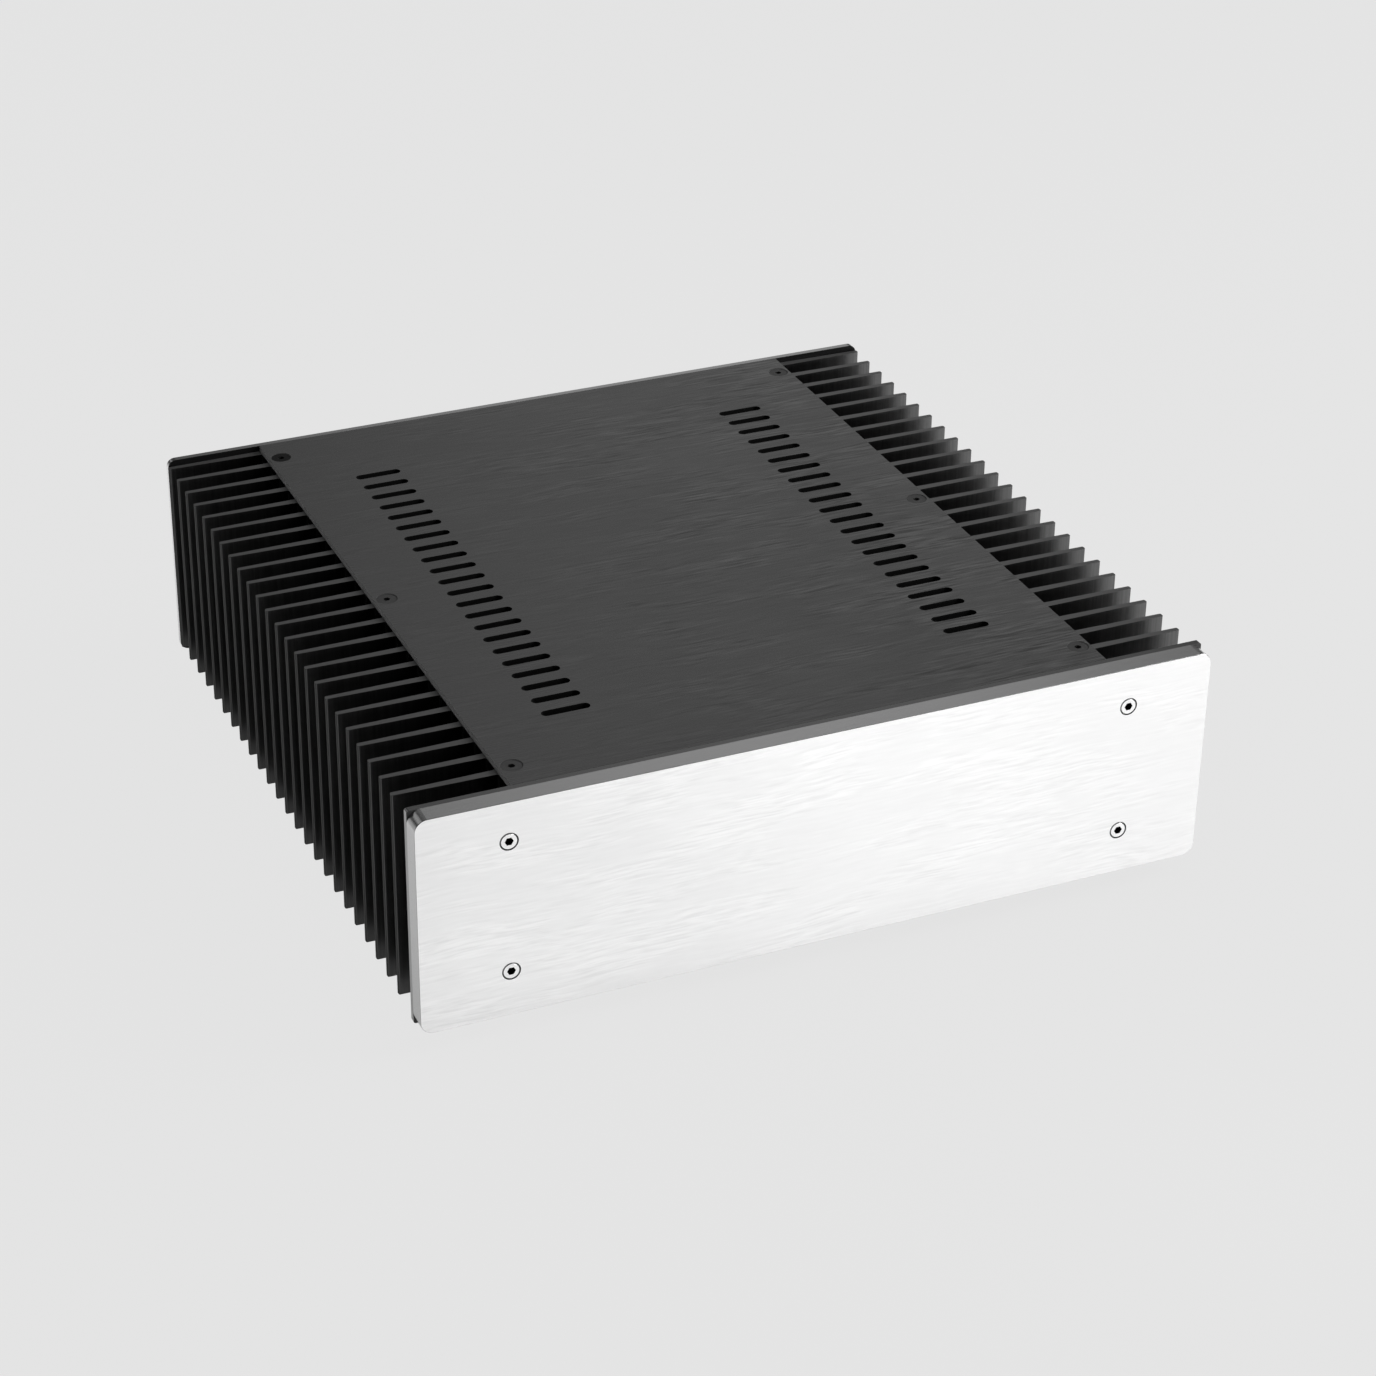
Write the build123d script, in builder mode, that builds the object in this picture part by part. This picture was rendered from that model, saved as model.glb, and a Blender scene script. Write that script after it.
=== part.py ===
from build123d import *
import os

os.makedirs("parts", exist_ok=True)

# Frame: X across the front, +Y towards the rear panel, +Z up.
# The origin is the middle of the footprint, on the surface that the feet stand on.

# Panels and plates
panel_width = 320.0
panel_height = 90.0
panel_corner = 5.0
front_thickness = 8.0
front_edge_break = 0.15
inner_plate_thickness = 2.5
inner_corner = 1.0
rear_thickness = 2.5
rear_corner = 3.5

# Heatsink extrusions: a comb profile, drawn in plan and as tall as the gap between the covers
heatsink_length = 299.0
heatsink_base = 10.0
fin_reach = 40.0
fin_pitch = 12.3
fin_root = 3.5
fin_tip = 2.2
fin_root_fillet = 1.0
fin_tip_round = 0.6
nut_room = 12.0

# Covers, with two rows of slots across the case
cover_thickness = 2.5
cover_gap = 0.1
slot_length = 19.2
slot_width = 4.0
slot_pitch = 10.08
slot_side_margin = 27.9
slot_front_margin = 42.3
slot_rear_margin = 44.0

# Fasteners, all of the 4 mm metric size
screw_radius = 2.0
screw_end_chamfer = 0.4
clearance_radius = 2.2
tapped_radius = 2.05
tapped_depth = 12.0
flat_head_radius = 4.0
flat_head_recess = 0.25
flat_socket = 2.5
flat_socket_depth = 1.5
flat_screw_length = 10.0
cap_head_radius = 3.5
cap_head_height = 4.0
cap_head_chamfer = 0.5
cap_socket = 3.0
cap_socket_depth = 2.0
cap_screw_length = 12.0
counterbore_radius = 3.65
nut_flats = 7.0
nut_height = 3.2
washer_radius = 4.4
washer_thickness = 0.8

# Where the fasteners sit
cover_screws_a_side = 3
cover_screw_front_margin = 12.8
cover_screw_rear_margin = 14.0
front_washer_gap = 0.6
front_screw_low = 18.8
front_screw_rise = 55.0
end_screw_margin = 15.0

# Feet
foot_height = 8.0
foot_top_radius = 10.0
foot_bottom_radius = 9.0
foot_edge_fillet = 1.0
foot_recess_radius = 5.5
foot_recess_depth = 4.0
foot_inset = 28.0
foot_head_height = 2.6
foot_screw_length = 12.0

# Places worked out from the sizes above
depth = front_thickness + inner_plate_thickness + heatsink_length + rear_thickness
front_y = -depth / 2
plate_y = front_y + front_thickness
case_front_y = plate_y + inner_plate_thickness
case_rear_y = case_front_y + heatsink_length
rear_y = case_rear_y + rear_thickness
case_mid_y = (case_front_y + case_rear_y) / 2
low_z = foot_height
high_z = low_z + panel_height
mid_z = (low_z + high_z) / 2
sink_low_z = low_z + cover_thickness
sink_high_z = high_z - cover_thickness
sink_height = sink_high_z - sink_low_z
fin_end = panel_width / 2
wall_outer = fin_end - fin_reach
wall_inner = wall_outer - heatsink_base
screw_line = wall_outer - heatsink_base / 2
cover_width = 2 * wall_outer
cover_length = heatsink_length - 2 * cover_gap
cover_front_y = case_front_y + cover_gap
countersink_radius = flat_head_radius + flat_head_recess
front_screw_offset = wall_outer + front_washer_gap + washer_radius

# Patterns: the counts follow from the lengths and pitches
fin_count = int((heatsink_length - nut_room - fin_root) / fin_pitch) + 1
fin_last_y = case_rear_y - fin_root / 2
fin_ys = [fin_last_y - i * fin_pitch for i in range(fin_count)]
slot_count = int((cover_length - slot_front_margin - slot_rear_margin) / slot_pitch) + 1
slot_ys = [cover_front_y + slot_front_margin + i * slot_pitch for i in range(slot_count)]
slot_row_offset = wall_outer - slot_side_margin - slot_length / 2
slot_places = [(x, y) for x in (-slot_row_offset, slot_row_offset) for y in slot_ys]
cover_screw_run = cover_length - cover_screw_front_margin - cover_screw_rear_margin
cover_screw_pitch = cover_screw_run / (cover_screws_a_side - 1)
cover_screw_front_y = cover_front_y + cover_screw_front_margin
cover_screw_ys = [cover_screw_front_y + i * cover_screw_pitch for i in range(cover_screws_a_side)]
cover_screw_places = [(x, y) for x in (-screw_line, screw_line) for y in cover_screw_ys]
front_screw_zs = (low_z + front_screw_low, low_z + front_screw_low + front_screw_rise)
front_screw_places = [(x, z) for x in (-front_screw_offset, front_screw_offset) for z in front_screw_zs]
end_screw_zs = (low_z + end_screw_margin, high_z - end_screw_margin)
end_screw_places = [(x, z) for x in (-screw_line, screw_line) for z in end_screw_zs]
foot_x = wall_outer - foot_inset
foot_y = depth / 2 - foot_inset
foot_places = {
    "front_left_foot": (-foot_x, -foot_y),
    "front_right_foot": (foot_x, -foot_y),
    "rear_left_foot": (-foot_x, foot_y),
    "rear_right_foot": (foot_x, foot_y),
}


def facing_front(y):
    """Plane at y whose normal points out of the front; its local axes are X and Z."""
    return Plane(origin=(0, y, 0), x_dir=(1, 0, 0), z_dir=(0, -1, 0))


def facing_rear(y):
    """Plane at y whose normal points out of the rear; its local axes are -X and Z."""
    return Plane(origin=(0, y, 0), x_dir=(-1, 0, 0), z_dir=(0, 1, 0))


def facing_down(z):
    """Plane at z whose normal points down; its local axes are X and -Y."""
    return Plane(origin=(0, 0, z), x_dir=(1, 0, 0), z_dir=(0, 0, -1))


def places_on(plane, points):
    """Locations on a plane, turned so that local Z is the plane's normal."""
    return [plane.location * Location((u, v, 0)) for u, v in points]


# Fastener patterns, each with its axis on Z and its outer face at z = 0.
# They are copied into the fastener groups further down.

with BuildPart() as flat_screw:
    with BuildSketch(Plane.XZ):
        with BuildLine():
            neck_z = screw_radius - flat_head_radius
            Polyline(
                (0, 0),
                (flat_head_radius, 0),
                (screw_radius, neck_z),
                (screw_radius, screw_end_chamfer - flat_screw_length),
                (screw_radius - screw_end_chamfer, -flat_screw_length),
                (0, -flat_screw_length),
                close=True,
            )
        make_face()
    revolve(axis=Axis.Z)
    with BuildSketch():
        RegularPolygon(flat_socket / 2, 6, major_radius=False)
    extrude(amount=-flat_socket_depth, mode=Mode.SUBTRACT)

with BuildPart() as cap_screw:
    with BuildSketch(Plane.XZ):
        with BuildLine():
            tip_z = -cap_head_height - cap_screw_length
            Polyline(
                (0, 0),
                (cap_head_radius - cap_head_chamfer, 0),
                (cap_head_radius, -cap_head_chamfer),
                (cap_head_radius, -cap_head_height),
                (screw_radius, -cap_head_height),
                (screw_radius, tip_z + screw_end_chamfer),
                (screw_radius - screw_end_chamfer, tip_z),
                (0, tip_z),
                close=True,
            )
        make_face()
    revolve(axis=Axis.Z)
    with BuildSketch():
        RegularPolygon(cap_socket / 2, 6, major_radius=False)
    extrude(amount=-cap_socket_depth, mode=Mode.SUBTRACT)

with BuildPart() as foot_screw:
    with BuildSketch():
        Circle(cap_head_radius)
        RegularPolygon(cap_socket / 2, 6, major_radius=False, mode=Mode.SUBTRACT)
    extrude(amount=-foot_head_height)
    with BuildSketch(Plane.XY.offset(-foot_head_height)):
        Circle(screw_radius)
    extrude(amount=-foot_screw_length)
    with BuildSketch(Plane.XY.offset(-foot_head_height)):
        Circle(cap_head_radius)
    extrude(amount=foot_head_height - cap_socket_depth)

with BuildPart() as hex_nut:
    with BuildSketch():
        RegularPolygon(nut_flats / 2, 6, major_radius=False)
        Circle(tapped_radius, mode=Mode.SUBTRACT)
    extrude(amount=-nut_height)

with BuildPart() as flat_washer:
    with BuildSketch():
        Circle(washer_radius)
        Circle(clearance_radius, mode=Mode.SUBTRACT)
    extrude(amount=-washer_thickness)


# Front panel: a thick plate, counterbored so that its four cap screws sit flush

with BuildPart() as front_panel:
    with BuildSketch(facing_front(plate_y)):
        with Locations((0, mid_z)):
            RectangleRounded(panel_width, panel_height, panel_corner)
    extrude(amount=front_thickness)
    front_outline = front_panel.faces().sort_by(Axis.Y)[0].outer_wire()
    chamfer(front_outline.edges(), front_edge_break)
    with Locations(places_on(facing_front(front_y), front_screw_places)):
        CounterBoreHole(clearance_radius, counterbore_radius, cap_head_height, front_thickness)
front_panel.part.label = "front_panel"
export_step(front_panel.part, "parts/front_panel.step")


# Inner front plate: the same outline behind the panel, screwed to the heatsinks' front ends

with BuildPart() as front_inner_plate:
    with BuildSketch(facing_front(case_front_y)):
        with Locations((0, mid_z)):
            RectangleRounded(panel_width, panel_height, inner_corner)
        with Locations(*front_screw_places):
            Circle(clearance_radius, mode=Mode.SUBTRACT)
    extrude(amount=inner_plate_thickness)
    with Locations(places_on(facing_front(plate_y), end_screw_places)):
        CounterSinkHole(clearance_radius, countersink_radius, inner_plate_thickness, 90)
front_inner_plate.part.label = "front_inner_plate"
export_step(front_inner_plate.part, "parts/front_inner_plate.step")


# Rear panel: a thin plate with tighter corners, screwed to the heatsinks' rear ends

with BuildPart() as rear_panel:
    with BuildSketch(facing_rear(case_rear_y)):
        with Locations((0, mid_z)):
            RectangleRounded(panel_width, panel_height, rear_corner)
    extrude(amount=rear_thickness)
    with Locations(places_on(facing_rear(rear_y), end_screw_places)):
        CounterSinkHole(clearance_radius, countersink_radius, rear_thickness, 90)
rear_panel.part.label = "rear_panel"
export_step(rear_panel.part, "parts/rear_panel.step")


# Heatsinks: tapered fins on a thick base, filleted at the roots and rounded at the tips.
# The rearmost fin stands flush with the base's end; the front keeps room for the panel's nuts.

def drill_heatsink(side):
    """Tapped holes in one heatsink's base, for the covers and the end plates."""
    for plane in (Plane.XY.offset(sink_high_z), facing_down(sink_low_z)):
        flip = 1 if plane.z_dir.Z > 0 else -1
        points = [(side * screw_line, flip * y) for y in cover_screw_ys]
        with Locations(places_on(plane, points)):
            Hole(tapped_radius, tapped_depth)
    for plane, flip in ((facing_front(case_front_y), 1), (facing_rear(case_rear_y), -1)):
        points = [(flip * side * screw_line, z) for z in end_screw_zs]
        with Locations(places_on(plane, points)):
            Hole(tapped_radius, tapped_depth)


def comb_profile(side):
    """Plan section of one heatsink, with the fins pointing away from the case."""
    with Locations((side * (wall_inner + wall_outer) / 2, case_mid_y)):
        Rectangle(heatsink_base, heatsink_length)
    for y in fin_ys:
        Polygon(
            (side * wall_outer, y - fin_root / 2),
            (side * fin_end, y - fin_tip / 2),
            (side * fin_end, y + fin_tip / 2),
            (side * wall_outer, y + fin_root / 2),
            align=None,
        )


def round_fins(profile, side):
    """Fillet the fins' roots that have base on both sides, and round every tip."""
    tips = profile.vertices().filter_by_position(Axis.X, side * fin_end - 0.01, side * fin_end + 0.01)
    fillet(tips, fin_tip_round)
    roots = profile.vertices().filter_by_position(Axis.X, side * wall_outer - 0.01, side * wall_outer + 0.01)
    roots = roots.filter_by_position(Axis.Y, case_front_y + 0.01, case_rear_y - 0.01)
    fillet(roots, fin_root_fillet)


with BuildPart() as left_heatsink:
    with BuildSketch(Plane.XY.offset(sink_low_z)) as left_profile:
        comb_profile(-1)
        round_fins(left_profile, -1)
    extrude(amount=sink_height)
    drill_heatsink(-1)
left_heatsink.part.label = "left_heatsink"
export_step(left_heatsink.part, "parts/left_heatsink.step")

with BuildPart() as right_heatsink:
    with BuildSketch(Plane.XY.offset(sink_low_z)) as right_profile:
        comb_profile(1)
        round_fins(right_profile, 1)
    extrude(amount=sink_height)
    drill_heatsink(1)
right_heatsink.part.label = "right_heatsink"
export_step(right_heatsink.part, "parts/right_heatsink.step")


# Covers: slotted plates that lie on the heatsinks' bases, countersunk on the outside

def slotted_plate():
    """Outline and slots of a cover, in plan."""
    with Locations((0, case_mid_y)):
        Rectangle(cover_width, cover_length)
    with Locations(*slot_places):
        SlotOverall(slot_length, slot_width, mode=Mode.SUBTRACT)


with BuildPart() as top_cover:
    with BuildSketch(Plane.XY.offset(sink_high_z)):
        slotted_plate()
    extrude(amount=cover_thickness)
    with Locations(places_on(Plane.XY.offset(high_z), cover_screw_places)):
        CounterSinkHole(clearance_radius, countersink_radius, cover_thickness, 90)
top_cover.part.label = "top_cover"
export_step(top_cover.part, "parts/top_cover.step")

with BuildPart() as bottom_cover:
    with BuildSketch(Plane.XY.offset(low_z)):
        slotted_plate()
        with Locations(*foot_places.values()):
            Circle(clearance_radius, mode=Mode.SUBTRACT)
    extrude(amount=cover_thickness)
    with Locations(places_on(facing_down(low_z), [(x, -y) for x, y in cover_screw_places])):
        CounterSinkHole(clearance_radius, countersink_radius, cover_thickness, 90)
bottom_cover.part.label = "bottom_cover"
export_step(bottom_cover.part, "parts/bottom_cover.step")


# Front panel fasteners: cap screws from the front, washers and nuts behind the inner plate

with BuildPart() as front_panel_screws:
    with Locations(places_on(facing_front(front_y), front_screw_places)):
        add(cap_screw.part)
front_panel_screws.part.label = "front_panel_screws"
export_step(front_panel_screws.part, "parts/front_panel_screws.step")

with BuildPart() as front_panel_washers:
    with Locations(places_on(facing_front(case_front_y + washer_thickness), front_screw_places)):
        add(flat_washer.part.moved(Location((0, 0, washer_thickness))))
front_panel_washers.part.label = "front_panel_washers"
export_step(front_panel_washers.part, "parts/front_panel_washers.step")

with BuildPart() as front_panel_nuts:
    with Locations(places_on(facing_front(case_front_y + washer_thickness), front_screw_places)):
        add(hex_nut.part)
front_panel_nuts.part.label = "front_panel_nuts"
export_step(front_panel_nuts.part, "parts/front_panel_nuts.step")


# Flat-head screws of the plates and covers, seated a little below each outer face

with BuildPart() as inner_plate_screws:
    with Locations(places_on(facing_front(plate_y + flat_head_recess), end_screw_places)):
        add(flat_screw.part)
inner_plate_screws.part.label = "inner_plate_screws"
export_step(inner_plate_screws.part, "parts/inner_plate_screws.step")

with BuildPart() as rear_panel_screws:
    with Locations(places_on(facing_rear(rear_y - flat_head_recess), end_screw_places)):
        add(flat_screw.part)
rear_panel_screws.part.label = "rear_panel_screws"
export_step(rear_panel_screws.part, "parts/rear_panel_screws.step")

# The rear left screw of the top cover has a darker finish than the others, so it is its own piece.
rear_left_place = (-screw_line, cover_screw_ys[-1])

with BuildPart() as top_cover_screws:
    matching_places = [place for place in cover_screw_places if place != rear_left_place]
    with Locations(places_on(Plane.XY.offset(high_z - flat_head_recess), matching_places)):
        add(flat_screw.part)
top_cover_screws.part.label = "top_cover_screws"
export_step(top_cover_screws.part, "parts/top_cover_screws.step")

with BuildPart() as rear_left_cover_screw:
    with Locations(places_on(Plane.XY.offset(high_z - flat_head_recess), [rear_left_place])):
        add(flat_screw.part)
rear_left_cover_screw.part.label = "rear_left_cover_screw"
export_step(rear_left_cover_screw.part, "parts/rear_left_cover_screw.step")

with BuildPart() as bottom_cover_screws:
    turned_places = [(x, -y) for x, y in cover_screw_places]
    with Locations(places_on(facing_down(low_z + flat_head_recess), turned_places)):
        add(flat_screw.part)
bottom_cover_screws.part.label = "bottom_cover_screws"
export_step(bottom_cover_screws.part, "parts/bottom_cover_screws.step")


# Feet: tapered rubber pads under the bottom cover, each recessed for its washer and screw head

for foot_name, (x, y) in foot_places.items():
    with BuildPart() as foot:
        with BuildSketch(Plane(origin=(x, y, 0), x_dir=(1, 0, 0), z_dir=(0, -1, 0))) as foot_section:
            with BuildLine():
                Polyline(
                    (foot_recess_radius, 0),
                    (foot_bottom_radius, 0),
                    (foot_top_radius, foot_height),
                    (clearance_radius, foot_height),
                    (clearance_radius, foot_recess_depth),
                    (foot_recess_radius, foot_recess_depth),
                    close=True,
                )
            make_face()
            fillet(foot_section.vertices().group_by(Axis.Y)[0].sort_by(Axis.X)[-1], foot_edge_fillet)
        revolve(axis=Axis((x, y, 0), (0, 0, 1)))
    foot.part.label = foot_name
    export_step(foot.part, f"parts/{foot_name}.step")

foot_points = [(x, -y) for x, y in foot_places.values()]
foot_washer_z = foot_recess_depth - washer_thickness

with BuildPart() as foot_washers:
    with Locations(places_on(facing_down(foot_washer_z), foot_points)):
        add(flat_washer.part)
foot_washers.part.label = "foot_washers"
export_step(foot_washers.part, "parts/foot_washers.step")

with BuildPart() as foot_screws:
    with Locations(places_on(facing_down(foot_washer_z - foot_head_height), foot_points)):
        add(foot_screw.part)
foot_screws.part.label = "foot_screws"
export_step(foot_screws.part, "parts/foot_screws.step")

with BuildPart() as foot_nuts:
    with Locations(places_on(Plane.XY.offset(sink_low_z + nut_height), list(foot_places.values()))):
        add(hex_nut.part)
foot_nuts.part.label = "foot_nuts"
export_step(foot_nuts.part, "parts/foot_nuts.step")
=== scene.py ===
import math

import bpy
from mathutils import Matrix, Vector


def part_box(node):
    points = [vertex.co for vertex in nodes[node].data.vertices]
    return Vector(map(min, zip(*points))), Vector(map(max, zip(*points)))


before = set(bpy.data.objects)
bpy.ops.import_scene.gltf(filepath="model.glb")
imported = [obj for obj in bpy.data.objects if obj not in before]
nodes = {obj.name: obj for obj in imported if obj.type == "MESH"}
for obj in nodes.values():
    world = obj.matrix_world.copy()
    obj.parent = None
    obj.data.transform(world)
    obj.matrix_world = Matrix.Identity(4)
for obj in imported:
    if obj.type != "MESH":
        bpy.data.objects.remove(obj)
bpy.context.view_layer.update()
print("loaded", len(nodes), "CAD nodes")


# Helpers for shader trees: a value given to them is a socket to link, or a plain number

towardsX = (1.0, 0.0, 0.0)
towardsY = (0.0, 1.0, 0.0)
towardsZ = (0.0, 0.0, 1.0)


def addNode(tree, kind, place, **settings):
    node = tree.nodes.new(kind)
    node.location = place
    for name, value in settings.items():
        setattr(node, name, value)
    return node


def feed(tree, target, value):
    if isinstance(value, bpy.types.NodeSocket):
        tree.links.new(value, target)
    else:
        target.default_value = value


def addMath(tree, operation, place, *values):
    node = addNode(tree, "ShaderNodeMath", place, operation=operation)
    for target, value in zip(node.inputs, values):
        feed(tree, target, value)
    return node.outputs[0]


def addVectorMath(tree, operation, place, *values):
    node = addNode(tree, "ShaderNodeVectorMath", place, operation=operation)
    for target, value in zip(node.inputs, values):
        feed(tree, target, value)
    return node.outputs


def addScale(tree, place, vector, factor):
    node = addNode(tree, "ShaderNodeVectorMath", place, operation="SCALE")
    feed(tree, node.inputs[0], vector)
    feed(tree, node.inputs["Scale"], factor)
    return node.outputs[0]


def addRange(tree, place, value, fromLow, fromHigh, toLow=0.0, toHigh=1.0):
    node = addNode(tree, "ShaderNodeMapRange", place)
    for label, amount in (("Value", value), ("From Min", fromLow), ("From Max", fromHigh),
                          ("To Min", toLow), ("To Max", toHigh)):
        feed(tree, node.inputs[label], amount)
    return node.outputs["Result"]


def addSpread(tree, place, value, middle, spread):
    # as the value goes from 0 to 1, the result goes from middle - spread to middle + spread
    return addRange(tree, place, value, 0.0, 1.0, middle - spread, middle + spread)


def addNoise(tree, place, vector, scale, detail=2.0, roughness=0.5):
    node = addNode(tree, "ShaderNodeTexNoise", place)
    for label, amount in (("Vector", vector), ("Scale", scale),
                          ("Detail", detail), ("Roughness", roughness)):
        feed(tree, node.inputs[label], amount)
    return node.outputs


def mixColours(tree, place, factor, first, second):
    node = addNode(tree, "ShaderNodeMix", place, data_type="RGBA")
    feed(tree, node.inputs[0], factor)
    for target, value in ((node.inputs[6], first), (node.inputs[7], second)):
        feed(tree, target, (*value, 1.0) if isinstance(value, tuple) else value)
    return node.outputs[2]


def mixValues(tree, place, factor, first, second):
    node = addNode(tree, "ShaderNodeMix", place, data_type="FLOAT")
    for target, value in ((node.inputs[0], factor), (node.inputs[2], first), (node.inputs[3], second)):
        feed(tree, target, value)
    return node.outputs[0]


def addSeparate(tree, place, vector):
    node = addNode(tree, "ShaderNodeSeparateXYZ", place)
    feed(tree, node.inputs[0], vector)
    return node.outputs


def startGroup(name, inputs, outputs):
    # inputs are (label, socket type, default), outputs are labels of plain values
    group = bpy.data.node_groups.new(name, "ShaderNodeTree")
    for label, kind, default in inputs:
        socket = group.interface.new_socket(label, in_out="INPUT", socket_type=kind)
        if default is not None:
            socket.default_value = default
    for label in outputs:
        group.interface.new_socket(label, in_out="OUTPUT", socket_type="NodeSocketFloat")
    source = addNode(group, "NodeGroupInput", (-1300, 0))
    result = addNode(group, "NodeGroupOutput", (900, 0))
    return group, source.outputs, result.inputs


def useGroup(tree, group, place, values):
    node = addNode(tree, "ShaderNodeGroup", place, node_tree=group)
    for label, value in values.items():
        feed(tree, node.inputs[label], value)
    return node.outputs


# Brushed grain: short wavy strokes along X, each with a light and a dark side, that come and go;
# broad soft patches; and fine hairlines

grainForm = {
    "wanderScale": 22.0,
    "lightToDark": 0.4,  # from a stroke's light side to its dark one, in stroke widths
    "fadedAt": 0.42,  # strokes are faint where the patches are under this
    "fullAt": 0.6,  # and at full strength where they are over this
    "faintest": 0.2,
    "stretch": {"Strokes": (1.0, 1.0), "Patches": (2.5, 9.0), "Hairlines": (0.8, 0.3)},  # along, across
    "noiseLow": 0.3,  # patches and hairlines go from 0 to 1 between these
    "noiseHigh": 0.7,
}


def makeBrushedGrain(s):
    group, given, result = startGroup(
        "brushedGrain",
        [
            ("Vector", "NodeSocketVector", None),
            ("Stroke Length", "NodeSocketFloat", 0.012),
            ("Stroke Width", "NodeSocketFloat", 0.001),
            ("Drift", "NodeSocketFloat", 0.002),
            ("Relief", "NodeSocketFloat", 2.0),
        ],
        ["Strokes", "Patches", "Hairlines"],
    )
    wander = addNoise(group, (-1100, -300), given["Vector"], s["wanderScale"], detail=1.0)["Color"]
    centred = addVectorMath(group, "SUBTRACT", (-900, -300), wander, (0.5, 0.5, 0.5))[0]
    shift = addScale(group, (-720, -300), centred, given["Drift"])
    wavy = addVectorMath(group, "ADD", (-540, -100), given["Vector"], shift)[0]
    along = addMath(group, "DIVIDE", (-720, 260), 1.0, given["Stroke Length"])
    across = addMath(group, "DIVIDE", (-720, 100), 1.0, given["Stroke Width"])
    points, layers = {}, {}
    for label, height in (("Strokes", 300), ("Patches", 0), ("Hairlines", -300)):
        longer, wider = s["stretch"][label]
        length = addMath(group, "DIVIDE", (-500, height + 60), along, longer)
        width = addMath(group, "DIVIDE", (-500, height - 100), across, wider)
        stretch = addNode(group, "ShaderNodeCombineXYZ", (-320, height))
        for target, value in zip(stretch.inputs, (length, width, width)):
            feed(group, target, value)
        points[label] = addVectorMath(group, "MULTIPLY", (-140, height), wavy, stretch.outputs[0])[0]
        layers[label] = addNoise(group, (60, height), points[label], 1.0)[0]
    aside = (0.0, s["lightToDark"], s["lightToDark"])
    beside = addVectorMath(group, "ADD", (60, 500), points["Strokes"], aside)[0]
    darkSide = addNoise(group, (240, 500), beside, 1.0)[0]
    slope = addMath(group, "SUBTRACT", (260, 300), layers["Strokes"], darkSide)
    coming = addRange(group, (260, 60), layers["Patches"], s["fadedAt"], s["fullAt"], s["faintest"], 1.0)
    relief = addMath(group, "MULTIPLY", (440, 60), coming, given["Relief"])
    feed(group, result["Strokes"], addMath(group, "MULTIPLY_ADD", (620, 300), slope, relief, 0.5))
    for label, height in (("Patches", -40), ("Hairlines", -300)):
        full = addRange(group, (480, height), layers[label], s["noiseLow"], s["noiseHigh"])
        feed(group, result[label], full)
    return group


# Facing mask: 1 on faces that look along the given axis, 0 on those that lie along it

def makeFacingMask():
    group, given, result = startGroup(
        "facingMask",
        [
            ("Axis", "NodeSocketVector", towardsZ),
            ("Start", "NodeSocketFloat", 0.6),
            ("Full", "NodeSocketFloat", 0.8),
        ],
        ["Mask"],
    )
    normal = addNode(group, "ShaderNodeNewGeometry", (-900, 200)).outputs["Normal"]
    lean = addVectorMath(group, "DOT_PRODUCT", (-700, 100), normal, given["Axis"])["Value"]
    size = addMath(group, "ABSOLUTE", (-500, 100), lean)
    feed(group, result["Mask"], addRange(group, (-300, 100), size, given["Start"], given["Full"]))
    return group


# Handling marks: soft patches and small specks, for small changes of tone and gloss

marksForm = {
    "noiseLow": 0.32,
    "noiseHigh": 0.68,
}


def makeHandlingMarks(s):
    group, given, result = startGroup(
        "handlingMarks",
        [
            ("Vector", "NodeSocketVector", None),
            ("Patch Scale", "NodeSocketFloat", 18.0),
            ("Speck Scale", "NodeSocketFloat", 900.0),
        ],
        ["Patches", "Specks"],
    )
    for label, scale, height in (("Patches", "Patch Scale", 200), ("Specks", "Speck Scale", -200)):
        noise = addNoise(group, (-600, height), given["Vector"], given[scale])[0]
        full = addRange(group, (-300, height), noise, s["noiseLow"], s["noiseHigh"])
        feed(group, result[label], full)
    return group


# Turned face: rings round the nearest of a row of centres, as a lathe leaves on a screw's head

turnedForm = {
    "sunkAt": 0.00004,  # deeper than this below the head's face is in the socket
    "sunkFull": 0.00012,
    "floorAt": 0.0021,  # and deeper than this is past the socket's floor
    "floorEnd": 0.0023,
}


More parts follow.
